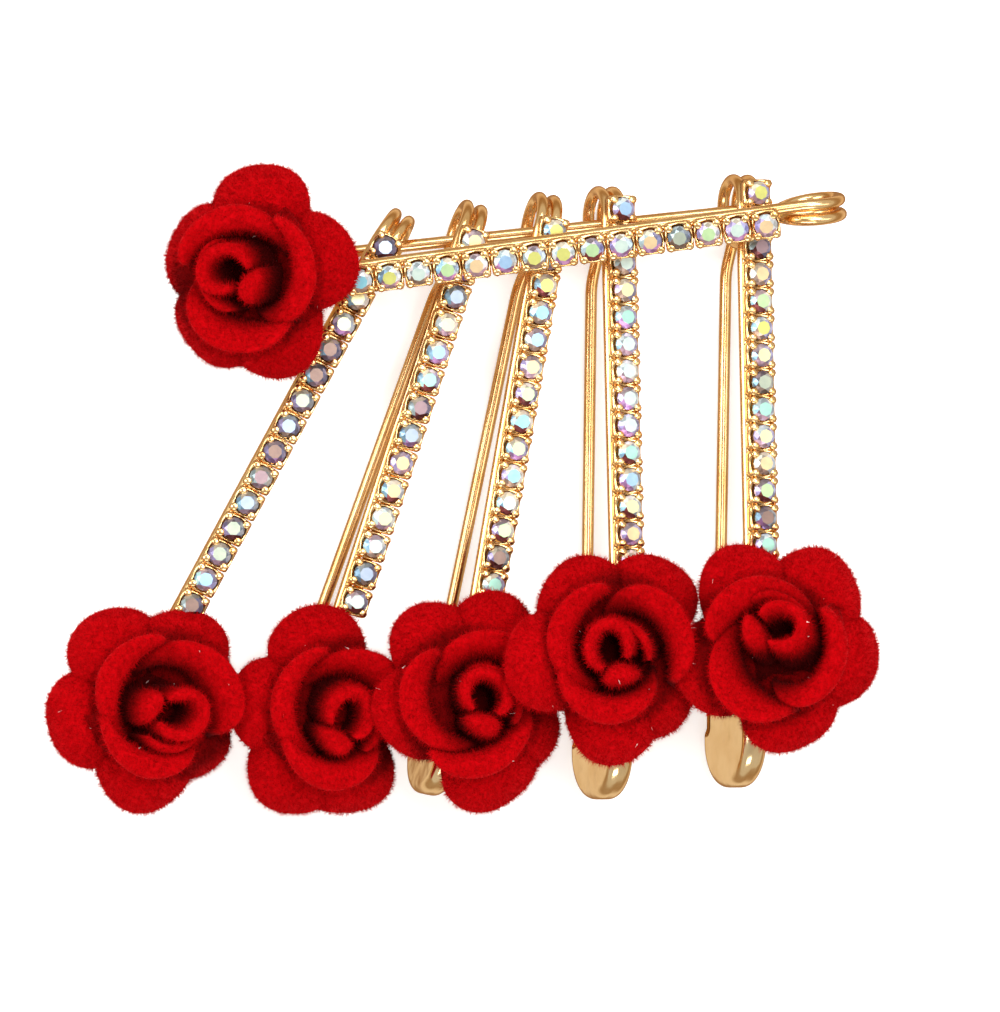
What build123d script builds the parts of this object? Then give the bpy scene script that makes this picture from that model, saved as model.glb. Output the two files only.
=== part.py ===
from build123d import *
from math import asin, cos, pi, radians, sin, sqrt, tan
import os

# Saree pin lying on a surface: a main safety pin across the top, and five more pins whose coils
# are threaded on its pointed arm. Each pin carries a chain of stones in cups on its front rod,
# a folded cap, and a flocked rose stuck on the cap. Millimetres, Z up, floor at Z = 0.

# Wire of one pin
wire_diameter = 1.1
coil_diameter = 7.0
coil_turn_gap = 0.3
coil_turns = 1.5
pin_length = 57.0
arm_gap_at_cap = 8.0
rod_bend_start = 1.0
arm_bend_start = 1.0
arm_bend_end = 5.5
arm_bend_radius = 6.0
point_length = 4.0
point_diameter = 0.2

# Cap of folded sheet
cap_length = 10.3
cap_thickness = 2.4
cap_wall = 0.4
cap_corner = 4.4
cap_edge_round = 0.9
cap_slit_length = 5.6
cap_slit_width = 1.9

# Chain of cups and the stones in them
cup_width = 2.7
cup_length = 2.6
cup_height = 1.05
cup_floor = 0.35
prong_height = 1.65
prong_width = 0.42
link_width = 1.0
link_height = 0.4
cup_sink = 0.3
chain_side = 1.05
stone_diameter = 2.25
stone_table = 1.35
stone_girdle = 0.2
stone_crown = 0.42
stone_pavilion = 0.75
stone_culet = 0.5
stone_sides = 8
stone_gap = 0.1

# Rose
rose_radius = 10.4
petal_wall = 1.1
petal_radius = 4.5
petal_dome_radius = 5.3
petal_apex = 3.3
petal_hinge = 2.6
cup_petal_wall = 0.95
cup_petal_sweep = 150.0
cup_petal_shift = 1.0
cup_petal_neck = 3.2
cup_petal_flare = 2.7
cup_petal_top = 5.0
cup_petal_foot = 1.2
cup_petal_lip = 80.0
heart_radius = 4.2
heart_height = 2.0
bud_radius = 2.3
bud_wall = 0.9
bud_top = 5.7
bud_sweep = 265.0
bud_sink = 0.1

# Pad of glue under each rose
pad_radius = 3.4
pad_skirt = 1.3
pad_gap = 0.2

# Gap between two pieces that meet
clearance = 0.1

wire_radius = wire_diameter / 2
coil_line = coil_diameter / 2 - wire_radius
turn_shift = (wire_diameter + coil_turn_gap) / 2
coil_side = coil_turns * turn_shift
cap_tip = pin_length - coil_diameter / 2
cap_mouth = cap_tip - cap_length
cap_middle = cap_tip - cap_length / 2
wire_end = cap_tip - cap_corner
arm_line_at_cap = arm_gap_at_cap / 2
cap_height = arm_gap_at_cap + wire_diameter + 2 * (clearance + cap_wall)

# One row for each pin: where its coil lies, the way it points, how far it leans to the side of
# its chain, how high its coil and cap lie, and where its chain starts and how long it is
pin_rows = [
    dict(name="main", x=32.37, y=26.14, heading=186.3, lean=13.0,
         coil_lift=3.6, cap_lift=1.8, chain_start=4.2, pitch=2.70, stones=15),
    dict(name="hanging_1", x=-6.75, y=22.94, heading=240.4, lean=1.0,
         coil_lift=0.0, cap_lift=0.0, chain_start=0.55, pitch=2.69, stones=14),
    dict(name="hanging_2", x=0.35, y=23.64, heading=250.5, lean=14.0,
         coil_lift=0.0, cap_lift=0.0, chain_start=0.3, pitch=2.70, stones=14),
    dict(name="hanging_3", x=7.48, y=24.34, heading=258.6, lean=18.0,
         coil_lift=0.0, cap_lift=0.0, chain_start=0.1, pitch=2.56, stones=14),
    dict(name="hanging_4", x=13.5, y=24.94, heading=269.7, lean=23.0,
         coil_lift=0.0, cap_lift=0.0, chain_start=-1.1, pitch=2.51, stones=14),
    dict(name="hanging_5", x=26.04, y=26.04, heading=269.5, lean=23.0,
         coil_lift=0.0, cap_lift=0.0, chain_start=-1.5, pitch=2.51, stones=14),
]

# One row for each rose, in the order of the pins: its place along its pin, to the side and above
# the cap, its tilt to the right and upwards, where its bud's curl starts, for each cup petal its
# direction and its share of the cup's height, and for each outer petal its direction, its reach
# as a share of the rose's radius, and its droop
rose_rows = [
    dict(along=51.2, side=-1.2, stand=1.0, tilt_right=-6.0, tilt_up=0.0,
         curl=40.0, cups=[(40, 1.0), (160, 1.0), (280, 1.0)],
         petals=[(87, 1.00, 8), (9, 0.92, 4), (-73, 1.02, 10), (-125, 1.00, 12), (160, 0.94, 14)]),
    dict(along=48.57, side=1.65, stand=0.8, tilt_right=9.0, tilt_up=2.0,
         curl=0.0, cups=[(0, 1.0), (120, 1.0), (240, 1.0)],
         petals=[(118, 0.99, 8), (55, 1.00, 4), (-34, 0.92, 16), (-91, 1.00, 14), (192, 0.95, 12)]),
    dict(along=46.26, side=1.06, stand=1.27, tilt_right=11.0, tilt_up=0.0,
         curl=75.0, cups=[(5, 0.68), (125, 1.0), (245, 1.0)],
         petals=[(94, 1.01, 6), (168, 0.88, 6), (242, 1.01, 12), (-66, 1.02, 14), (12, 0.84, 20)]),
    dict(along=44.68, side=0.09, stand=2.9, tilt_right=11.0, tilt_up=2.0,
         curl=25.0, cups=[(25, 0.58), (145, 1.0), (265, 1.0)],
         petals=[(121, 1.04, 6), (74, 1.06, 6), (-28, 0.98, 20), (-75, 1.02, 12), (185, 0.87, -10)]),
    dict(along=40.28, side=-2.97, stand=4.02, tilt_right=10.0, tilt_up=2.0,
         curl=95.0, cups=[(95, 1.0), (215, 1.0), (335, 1.0)],
         petals=[(118, 0.95, 4), (55, 1.02, 6), (-44, 0.97, 16), (-90, 1.01, 10), (187, 0.97, -13)]),
    dict(along=40.51, side=0.31, stand=4.57, tilt_right=9.0, tilt_up=4.0,
         curl=60.0, cups=[(60, 1.0), (180, 1.0), (300, 1.0)],
         petals=[(125, 1.01, 4), (58, 1.01, 10), (-10, 1.00, 16), (-85, 0.98, 8), (196, 1.01, -4)]),
]


def lying_height(row, half_height, half_width):
    """Height of a leaning piece's middle over its lowest point."""
    lean = radians(row["lean"])
    return half_height * cos(lean) + half_width * sin(lean)


def pin_plane(row):
    """The pin's own plane: X from coil to cap, Z from arm to rod, Y to the side of its chain.

    The pin rests on its coil and on the edge of its cap's mouth, each over its own lift.
    """
    coil_z = row["coil_lift"] + lying_height(row, coil_diameter / 2, coil_side + wire_radius)
    cap_z = row["cap_lift"] + lying_height(row, cap_height / 2, cap_thickness / 2)
    heading = radians(row["heading"])
    flat = sqrt(cap_mouth**2 - (cap_z - coil_z) ** 2)
    along = Vector(cos(heading) * flat, sin(heading) * flat, cap_z - coil_z).normalized()
    side = Vector(-sin(heading), cos(heading), 0)
    upright = along.cross(side)
    lean = radians(row["lean"])
    normal = upright * cos(lean) + side * sin(lean)
    return Plane(origin=(row["x"], row["y"], coil_z), x_dir=along, z_dir=normal)


def rod_plane():
    """The rod's own line, from the top of the coil to its end inside the cap."""
    start = Vector(rod_bend_start, -coil_side, coil_line)
    way = (Vector(wire_end, 0, arm_line_at_cap) - start).normalized()
    level = Vector(0, 1, 0)
    return Plane(origin=start - way * rod_bend_start, x_dir=way, z_dir=way.cross(level))


def rose_plane(row, pin):
    """Plane of a rose's underside, tilted from the floor's."""
    on_pin = (row["along"], row["side"], cap_height / 2 + row["stand"])
    tilt = (tan(radians(row["tilt_right"])), tan(radians(row["tilt_up"])), 1)
    right = Vector(1, 0, -tilt[0])
    return Plane(origin=pin.from_local_coords(on_pin), x_dir=right, z_dir=tilt)


def placed(part, plane, label):
    """A piece moved from its own frame to its place, and labelled."""
    moved = part.moved(plane.location)
    moved.label = label
    return moved


def bent_wire():
    """Front rod, one and a half turns of coil, and the arm to its point, end to end."""
    rod_end = (wire_end, 0, arm_line_at_cap)
    arm_sag = (arm_line_at_cap - coil_line) * arm_bend_end / wire_end
    arm_turn = Vector(arm_bend_end, 0, -coil_line - arm_sag)
    arm_end = Vector(wire_end - point_length, 0, -arm_line_at_cap)
    point_way = (arm_end - arm_turn).normalized()
    with BuildPart() as wire:
        with BuildLine() as rod:
            FilletPolyline(
                (0, -coil_side, coil_line),
                (rod_bend_start, -coil_side, coil_line),
                rod_end,
                radius=arm_bend_radius,
            )
        round_along(rod.line)
        for half_turn in range(round(2 * coil_turns)):
            top = 1 if half_turn % 2 == 0 else -1
            side = -coil_side + half_turn * turn_shift
            with BuildLine() as turn:
                ThreePointArc(
                    (0, side, top * coil_line),
                    (-top * coil_line, side + turn_shift / 2, 0),
                    (0, side + turn_shift, -top * coil_line),
                )
            round_along(turn.line)
        with BuildLine() as arm:
            FilletPolyline(
                (0, coil_side, -coil_line),
                (arm_bend_start, coil_side, -coil_line),
                arm_turn,
                arm_end,
                radius=arm_bend_radius,
            )
        round_along(arm.line)
        with BuildSketch(Plane(origin=arm_end, z_dir=point_way)):
            Circle(wire_radius)
        with BuildSketch(Plane(origin=arm_end + point_way * point_length, z_dir=point_way)):
            Circle(point_diameter / 2)
        loft()
    return wire.part


def round_along(line):
    """Carry the wire's round section along a line, in the part in hand."""
    with BuildSketch(Plane(origin=line @ 0, z_dir=line % 0)) as section:
        Circle(wire_radius)
    sweep(sections=section.sketch, path=line)


def cup_chain(row):
    """A row of cups with four prongs each, linked by a narrow strip, in the rod's frame."""
    cup_base = wire_radius - cup_sink
    run = (row["stones"] - 1) * row["pitch"]
    middle = row["chain_start"] + run / 2
    prongs_along = cup_length - prong_width
    prongs_across = cup_width - prong_width
    chain = rod_plane().offset(cup_base)
    with BuildPart() as cups:
        with BuildSketch(chain):
            with Locations((middle, chain_side)):
                Rectangle(run, link_width)
        extrude(amount=link_height)
        with BuildSketch(chain):
            with Locations((middle, chain_side)):
                with GridLocations(row["pitch"], 0, row["stones"], 1):
                    Rectangle(cup_length, cup_width)
        extrude(amount=cup_height)
        with BuildSketch(chain):
            with Locations((middle, chain_side)):
                with GridLocations(row["pitch"], 0, row["stones"], 1):
                    with GridLocations(prongs_along, prongs_across, 2, 2):
                        Rectangle(prong_width, prong_width)
        extrude(amount=prong_height)
        with BuildSketch(chain.offset(cup_floor)):
            with Locations((middle, chain_side)):
                with GridLocations(row["pitch"], 0, row["stones"], 1):
                    Circle(stone_diameter / 2 + stone_gap)
        extrude(amount=prong_height, mode=Mode.SUBTRACT)
    return cups.part


def pin_wire(row):
    """The bent wire with its cups soldered on."""
    with BuildPart() as wire:
        add(bent_wire())
        add(cup_chain(row))
    return wire.part


def cut_stone():
    """One round-cut stone with a table, standing on its culet, on the XY plane."""
    with BuildPart() as stone:
        levels = [
            (0, stone_culet),
            (stone_pavilion, stone_diameter),
            (stone_pavilion + stone_girdle, stone_diameter),
            (stone_pavilion + stone_girdle + stone_crown, stone_table),
        ]
        for (low, low_width), (high, high_width) in zip(levels, levels[1:]):
            with BuildSketch(Plane.XY.offset(low)) as bottom:
                RegularPolygon(low_width / 2, stone_sides)
            with BuildSketch(Plane.XY.offset(high)) as top:
                RegularPolygon(high_width / 2, stone_sides)
            loft(sections=[bottom.sketch, top.sketch])
    return stone.part


def chain_stones(row):
    """All the stones of one chain, each clear of its cup."""
    stone_base = wire_radius - cup_sink + cup_floor + stone_gap
    middle = row["chain_start"] + (row["stones"] - 1) * row["pitch"] / 2
    stone = cut_stone()
    with BuildPart() as stones:
        with Locations(rod_plane().offset(stone_base)):
            with Locations((middle, chain_side)):
                with GridLocations(row["pitch"], 0, row["stones"], 1):
                    add(stone)
    return stones.part


def pin_cap():
    """The cap: a folded sheet, open at its mouth, slit where the arm slips in."""
    inner_height = cap_height - 2 * cap_wall
    inner_thickness = cap_thickness - 2 * cap_wall
    with BuildPart() as cap:
        with BuildSketch(Plane.XZ) as outline:
            with Locations((cap_middle, 0)):
                Rectangle(cap_length, cap_height)
            fillet(outline.vertices().group_by(Axis.X)[-1], radius=cap_corner)
        extrude(amount=cap_thickness / 2, both=True)
        flat_sides = cap.faces().filter_by(Axis.Y)
        fillet(flat_sides.edges().filter_by(lambda edge: edge.center().X > cap_mouth + cap_wall),
               radius=cap_edge_round)
        with BuildSketch(Plane.XZ) as hollow:
            with Locations((cap_middle - cap_wall, 0)):
                Rectangle(cap_length, inner_height)
            fillet(hollow.vertices().group_by(Axis.X)[-1], radius=cap_corner - cap_wall)
        extrude(amount=inner_thickness / 2, both=True, mode=Mode.SUBTRACT)
        with BuildSketch(Plane.XZ):
            with Locations((cap_mouth + cap_slit_length / 2, -arm_line_at_cap)):
                SlotOverall(cap_slit_length, cap_slit_width)
            with Locations((cap_mouth + cap_slit_length / 4, -arm_line_at_cap)):
                Rectangle(cap_slit_length / 2, cap_slit_width)
        extrude(amount=cap_thickness, mode=Mode.SUBTRACT)
    return cap.part


def outer_petal(direction, reach, droop):
    """An outer petal: a hollow dome whose rim curls down, hinged near the rose's heart."""
    half_angle = asin(petal_radius / petal_dome_radius)
    centre_along = reach * rose_radius - petal_radius
    hinge = Plane(
        origin=(petal_hinge * cos(radians(direction)), petal_hinge * sin(radians(direction)), petal_apex),
        x_dir=(cos(radians(direction)), sin(radians(direction)), 0),
        z_dir=(0, 0, 1),
    ).rotated((0, droop, 0))
    middle = hinge.from_local_coords((centre_along - petal_hinge, 0, -petal_dome_radius))
    profile_plane = Plane(origin=middle, x_dir=hinge.x_dir, z_dir=-hinge.y_dir)
    inner_radius = petal_dome_radius - petal_wall
    edge = (sin(half_angle), cos(half_angle))
    halfway = (sin(half_angle / 2), cos(half_angle / 2))
    with BuildPart() as petal:
        with BuildSketch(profile_plane):
            with BuildLine():
                Line((0, inner_radius), (0, petal_dome_radius))
                ThreePointArc(
                    (0, petal_dome_radius),
                    (petal_dome_radius * halfway[0], petal_dome_radius * halfway[1]),
                    (petal_dome_radius * edge[0], petal_dome_radius * edge[1]),
                )
                Line(
                    (petal_dome_radius * edge[0], petal_dome_radius * edge[1]),
                    (inner_radius * edge[0], inner_radius * edge[1]),
                )
                ThreePointArc(
                    (inner_radius * edge[0], inner_radius * edge[1]),
                    (inner_radius * halfway[0], inner_radius * halfway[1]),
                    (0, inner_radius),
                )
            make_face()
        revolve(axis=Axis(middle, hinge.z_dir))
    return petal.part


def cup_petal(direction, rise):
    """An upright petal of the cup: a trumpet wall that flares out at its rim."""
    turn = radians(direction - 90)
    axis_foot = Vector(cup_petal_shift * cos(turn), cup_petal_shift * sin(turn), 0)
    start = radians(direction - cup_petal_sweep / 2)
    section = Plane(
        origin=axis_foot,
        x_dir=(cos(start), sin(start), 0),
        z_dir=(sin(start), -cos(start), 0),
    )
    flare_x = cup_petal_neck + cup_petal_flare
    flare_z = cup_petal_top * rise - cup_petal_flare
    inner = cup_petal_flare - cup_petal_wall
    low = pi + asin((flare_z - cup_petal_foot) / cup_petal_flare)
    high = radians(cup_petal_lip)
    mid = (low + high) / 2
    with BuildPart() as petal:
        with BuildSketch(section):
            with BuildLine():
                outer_arc = ThreePointArc(
                    *[(flare_x + cup_petal_flare * cos(a), flare_z + cup_petal_flare * sin(a))
                      for a in (low, mid, high)])
                inner_arc = ThreePointArc(
                    *[(flare_x + inner * cos(a), flare_z + inner * sin(a))
                      for a in (low, mid, high)])
                Line(outer_arc @ 0, inner_arc @ 0)
                Line(outer_arc @ 1, inner_arc @ 1)
            make_face()
        revolve(axis=Axis(axis_foot, (0, 0, 1)), revolution_arc=cup_petal_sweep)
    return petal.part


def rose_part(row):
    """A rose in its own frame: heart, five domed petals, three cup petals and a curled bud."""
    with BuildPart() as rose:
        with BuildSketch(Plane.XY):
            Circle(pad_radius)
        with BuildSketch(Plane.XY.offset(heart_height)):
            Circle(heart_radius)
        loft()
        for direction, reach, droop in row["petals"]:
            add(outer_petal(direction, reach, droop))
        for direction, rise in row["cups"]:
            add(cup_petal(direction, rise))
        with BuildSketch(Plane.XY.offset(heart_height - bud_sink)):
            with BuildLine():
                outer_curl = CenterArc((0, 0), bud_radius, row["curl"], bud_sweep)
                inner_curl = CenterArc((0, 0), bud_radius - bud_wall, row["curl"], bud_sweep)
                Line(outer_curl @ 0, inner_curl @ 0)
                Line(outer_curl @ 1, inner_curl @ 1)
            make_face()
        extrude(amount=bud_top - heart_height + bud_sink)
    return rose.part


def pin_space():
    """The room that a pin's cap and rod take up, with the clearance round them."""
    height = cap_height / 2 + clearance
    with BuildPart() as space:
        with BuildSketch(Plane.XY.offset(-height)):
            with Locations((pin_length / 2, 0)):
                Rectangle(pin_length, cap_thickness + 2 * clearance)
        extrude(amount=2 * height)
    return space.part


def rose_pad(row, pin, rose):
    """The pad between cap and rose: it straddles the cap's edge, and is one lump."""
    foot = row["stand"] + pad_skirt
    with BuildPart() as pad:
        with BuildSketch(rose.offset(-pad_gap)):
            Circle(pad_radius)
        extrude(amount=-foot)
        add(pin_space().moved(pin.location), mode=Mode.SUBTRACT)
    return pad.solids().sort_by(SortBy.VOLUME)[-1]


os.makedirs("parts", exist_ok=True)

for pin_row, rose_row in zip(pin_rows, rose_rows):
    name = pin_row["name"]
    pin = pin_plane(pin_row)
    rose = rose_plane(rose_row, pin)
    pieces = [
        placed(pin_wire(pin_row), pin, "wire_" + name),
        placed(pin_cap(), pin, "cap_" + name),
        placed(chain_stones(pin_row), pin, "stones_" + name),
        placed(rose_part(rose_row), rose, "rose_" + name),
        placed(rose_pad(rose_row, pin, rose), Plane.XY, "pad_" + name),
    ]
    for piece in pieces:
        export_step(piece, "parts/" + piece.label + ".step")
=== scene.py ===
import math

import bpy
import numpy as np
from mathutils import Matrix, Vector


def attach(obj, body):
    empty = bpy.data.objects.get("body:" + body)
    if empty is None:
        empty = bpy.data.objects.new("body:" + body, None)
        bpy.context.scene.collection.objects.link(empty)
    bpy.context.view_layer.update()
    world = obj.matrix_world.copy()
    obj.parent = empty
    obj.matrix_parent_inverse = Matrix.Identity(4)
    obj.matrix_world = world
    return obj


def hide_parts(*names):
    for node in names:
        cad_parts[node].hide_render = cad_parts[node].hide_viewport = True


# Saree pin as it lies, seen from straight above: a main safety pin, five more pins threaded on
# its arm, a chain of coated stones on each front rod, and a red flocked rose on each cap. Lengths
# in the tables and surfaces are millimetres, and MM turns them into metres. Angles are degrees.

MM = 0.001

# Wire of one pin
wire_diameter = 1.1
coil_diameter = 7.0
coil_turn_gap = 0.3
coil_turns = 1.5
pin_length = 57.0
arm_gap_at_cap = 8.0
rod_bend_start = 1.0
arm_bend_start = 1.0
arm_bend_end = 5.5
bend_rounding = 1.0
point_length = 4.0
point_radius = 0.1
wire_sides = 18
wire_step = 0.5
finer_steps = 5
coil_steps = 90

# Cap of folded sheet
cap_length = 10.3
cap_thickness = 2.4
cap_wall = 0.4
cap_corner = 4.4

# Chain of cups and the stones in them
cup_width = 2.7
cup_length = 2.6
cup_height = 1.05
cup_floor = 0.35
cup_squareness = 9.0
cup_scallop = 0.16
prong_foot = 0.6
prong_height = 1.6
prong_radius = 0.27
prong_lean = 0.22
link_width = 1.0
link_height = 0.4
link_squareness = 0.4
cup_sink = 0.3
chain_side = 1.05
stone_diameter = 2.14
stone_table = 1.3
stone_girdle = 0.2
stone_crown = 0.42
stone_pavilion = 0.75
stone_kite_out = 1.02
stone_kite_drop = 0.45
stone_turn = 9.0
stone_gap = 0.1

# Rose
rose_radius = 10.4
petal_wall = 1.1
petal_radius = 4.5
petal_dome_radius = 5.3
petal_apex = 3.3
petal_hinge = 2.6
petal_crease = 0.55
petal_crease_width = 1.3
petal_crease_end = -0.4
petal_crease_fade = 0.8
petal_wave = 0.22
petal_plan_waves = (0.035, 0.025)
cup_petal_wall = 0.95
cup_petal_sweep = 150.0
cup_petal_neck = 4.0
cup_petal_flare = 2.0
cup_petal_top = 5.0
cup_petal_foot = 1.6
cup_petal_lip = 78.0
cup_petal_spiral = 0.75
cup_petal_spread = 1.1
cup_petal_spread_from = 0.25
cup_petal_tuck = 1.0
cup_petal_tuck_from = -0.1
cup_petal_rise = 0.45
cup_petal_taper = 0.45
cup_petal_end_lip = 0.40
cup_petal_tucked_lip = 0.2
cup_petal_lip_wave = 0.04
cup_petal_wall_wave = 0.12
heart_radius = 4.2
heart_height = 2.0
heart_rim_height = 1.8
heart_rim_inset = 0.1
heart_top_inset = 0.5
heart_top_radius = 1.0
pad_radius = 3.4
heart_foot_inset = 0.3
heart_foot_rise = 0.15
bud_top = 5.7
bud_sink = 0.2
bud_end_thinning = 0.95
bud_end_drop = 0.5
bud_top_wave = 0.15
bud_round_wave = 0.08
bud_roll_wall = 1.15
bud_roll_radius = 1.95
bud_roll_offset = 0.75
bud_roll_start = 35.0
bud_roll_sweep = 290.0
bud_lump_long = 1.75
bud_lump_wide = 1.05
bud_lump_offset = 2.05
bud_lump_turn = 12.0
bud_lump_drop = 0.15
bud_lump_wave = 0.07
bud_leaf_wall = 0.85
bud_leaf_radius = 3.15
bud_leaf_start = 60.0
bud_leaf_sweep = 150.0
bud_leaf_drop = 0.45
lean_height = 3.0
lean_most = 1.3

# Painted shade in the rose's folds: 0 is out in the light, and 1 is nearly black
fold_rim = 0.4
fold_shade_depth = 1.7
fold_reach = 7.5
fold_outer_most = 0.7
fold_outside_most = 0.35

# Roughness of the gold where it is least worn
gold_polish = 0.15

# Flock on the roses
fibres_per_rose = 76000
fibre_length = 0.5
fibre_width = 0.06
fibre_lean = 0.5
fibre_lengths = (0.35, 1.3)
specks_per_rose = 26

# Seed of the first pin's random draws
first_seed = 100

# Gap between two pieces that meet
clearance = 0.1

# Picture: how the photo's pixels lie on the floor
pixels_per_mm = 10.6
picture_middle = (3.77, -1.3)
picture_width = 1000 / pixels_per_mm
camera_height = 1200.0
sensor_width = 36.0
floor_half_side = 900.0

wire_radius = wire_diameter / 2
coil_line = coil_diameter / 2 - wire_radius
turn_shift = (wire_diameter + coil_turn_gap) / 2
coil_side = coil_turns * turn_shift
cap_tip = pin_length - coil_diameter / 2
cap_mouth = cap_tip - cap_length
wire_end = cap_tip - cap_corner
arm_line_at_cap = arm_gap_at_cap / 2
cap_height = arm_gap_at_cap + wire_diameter + 2 * (clearance + cap_wall)

# One row for each pin: where its coil lies, the way it points, how far it leans, how high its
# coil and cap lie, its chain, and the share of its stones that look dark from above
pin_rows = [
    dict(name="main", x=32.37, y=26.14, heading=186.3, lean=13.0,
         coil_lift=3.6, cap_lift=1.8, chain_start=4.2, pitch=2.70, stones=15, dark=0.1),
    dict(name="hanging_1", x=-6.75, y=22.94, heading=240.4, lean=1.0,
         coil_lift=0.0, cap_lift=0.0, chain_start=0.55, pitch=2.69, stones=15, dark=0.6),
    dict(name="hanging_2", x=0.35, y=23.64, heading=250.5, lean=14.0,
         coil_lift=0.0, cap_lift=0.0, chain_start=0.3, pitch=2.70, stones=14, dark=0.4),
    dict(name="hanging_3", x=7.48, y=24.34, heading=258.6, lean=18.0,
         coil_lift=0.0, cap_lift=0.0, chain_start=0.1, pitch=2.56, stones=14, dark=0.15),
    dict(name="hanging_4", x=13.5, y=24.94, heading=269.7, lean=23.0,
         coil_lift=0.0, cap_lift=0.0, chain_start=-1.1, pitch=2.51, stones=14, dark=0.05),
    dict(name="hanging_5", x=26.04, y=26.04, heading=269.5, lean=23.0,
         coil_lift=0.0, cap_lift=0.0, chain_start=-1.5, pitch=2.51, stones=14, dark=0.05),
]

# One row for each rose, in the order of the pins: its place along its pin, to the side and above
# the cap, its tilt to the right and upwards, how far its cup and its bud lean to the right and
# upwards, where its bud's lump lies, for each cup petal its direction and its share of the cup's
# height, and for each outer petal its direction, its reach as a share of the rose's radius, and
# its droop. Roses of hand 1 wind inwards anticlockwise
rose_rows = [
    dict(along=51.2, side=-1.2, stand=1.0, tilt_right=-6.0, tilt_up=0.0, hand=-1,
         cup_lean=(-0.9, -0.8), bud_lean=(-1.8, -0.3), lump=-35.0,
         cups=[(-10, 1.0), (95, 1.0), (239, 1.0)],
         petals=[(87, 1.00, 8), (9, 0.92, 4), (-73, 1.02, 10), (-125, 1.00, 12),
                 (160, 0.94, 14)]),
    dict(along=48.57, side=1.65, stand=0.8, tilt_right=9.0, tilt_up=2.0, hand=1,
         cup_lean=(1.8, 0.3), bud_lean=(2.0, -0.5), lump=165.0,
         cups=[(162, 1.0), (262, 1.0), (48, 1.0)],
         petals=[(118, 0.99, 8), (55, 1.00, 4), (-34, 0.92, 16), (-91, 1.00, 14),
                 (192, 0.95, 12)]),
    dict(along=46.26, side=1.06, stand=1.27, tilt_right=11.0, tilt_up=0.0, hand=1,
         cup_lean=(1.3, 0.2), bud_lean=(1.3, -0.5), lump=245.0,
         cups=[(177, 1.0), (272, 1.0), (58, 0.8)],
         petals=[(94, 1.01, 6), (168, 0.88, 6), (242, 1.01, 12), (-66, 1.02, 14),
                 (12, 0.84, 20)]),
    dict(along=44.68, side=0.09, stand=2.9, tilt_right=11.0, tilt_up=2.0, hand=1,
         cup_lean=(-0.6, 0.4), bud_lean=(0.3, 0.2), lump=265.0,
         cups=[(200, 1.0), (300, 0.9), (85, 0.8)],
         petals=[(121, 1.04, 6), (74, 1.06, 6), (-28, 0.98, 20), (-75, 1.02, 12),
                 (185, 0.87, -10)]),
    dict(along=40.28, side=-2.97, stand=4.02, tilt_right=10.0, tilt_up=2.0, hand=1,
         cup_lean=(0.0, 0.6), bud_lean=(-0.9, 0.0), lump=290.0,
         cups=[(175, 1.0), (268, 1.0), (45, 1.0)],
         petals=[(118, 0.95, 4), (55, 1.02, 6), (-44, 0.97, 16), (-90, 1.01, 10),
                 (187, 0.97, -13)]),
    dict(along=40.51, side=0.31, stand=4.57, tilt_right=9.0, tilt_up=4.0, hand=-1,
         cup_lean=(-1.9, -0.5), bud_lean=(-1.6, 1.4), lump=190.0,
         cups=[(100, 1.0), (-35, 1.0), (210, 1.0)],
         petals=[(125, 1.01, 4), (58, 1.01, 10), (-10, 1.00, 16), (-85, 0.98, 8),
                 (196, 1.01, -4)]),
]

# Colours of the coated stones, as seen by eye: the flat tables, and the other facets by the side
# of the stone that they face, with how much lighter or darker one of them may be. The facets'
# colours by side and their lightness are painted reflections of the coating.
table_tints = [
    (0.70, 0.92, 0.84), (0.96, 0.95, 0.74), (0.90, 0.90, 0.52), (0.62, 0.88, 0.94),
    (0.80, 0.93, 0.70), (0.97, 0.85, 0.66), (0.86, 0.94, 0.90), (0.68, 0.82, 0.95),
]
dark_table_tints = [
    (0.66, 0.56, 0.58), (0.74, 0.78, 0.70), (0.60, 0.50, 0.46), (0.70, 0.76, 0.84),
]
painted_facet_reflections = dict(
    right=[(0.78, 0.84, 0.92), (0.66, 0.66, 0.82), (0.94, 0.96, 0.96)],
    up=[(0.80, 0.86, 0.88), (0.66, 0.60, 0.63), (0.90, 0.86, 0.77)],
    left=[(0.66, 0.84, 0.96), (0.72, 0.67, 0.86), (0.84, 0.94, 0.96)],
    down=[(0.72, 0.60, 0.66), (0.48, 0.24, 0.24), (0.74, 0.56, 0.76), (0.64, 0.54, 0.48)],
)
facet_light = (0.78, 1.25)
dark_facet_light = 0.75


def unit(vector):
    """The vector made one long."""
    vector = np.asarray(vector, float)
    return vector / np.linalg.norm(vector)


class Place:
    """A frame of its own: an origin and three directions, X, Y and Z, one to a row."""

    def __init__(self, origin, x_dir, z_dir):
        self.origin = np.asarray(origin, float)
        z = unit(z_dir)
        x = unit(np.asarray(x_dir, float) - z * np.dot(x_dir, z))
        self.axes = np.array([x, np.cross(z, x), z])

    def out(self, points):
        """Points of this frame, in the frame that it stands in."""
        return self.origin + np.asarray(points, float) @ self.axes


def lying_height(row, half_height, half_width):
    """Height of a leaning piece's middle over its lowest point."""
    lean = math.radians(row["lean"])
    return half_height * math.cos(lean) + half_width * math.sin(lean)


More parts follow.
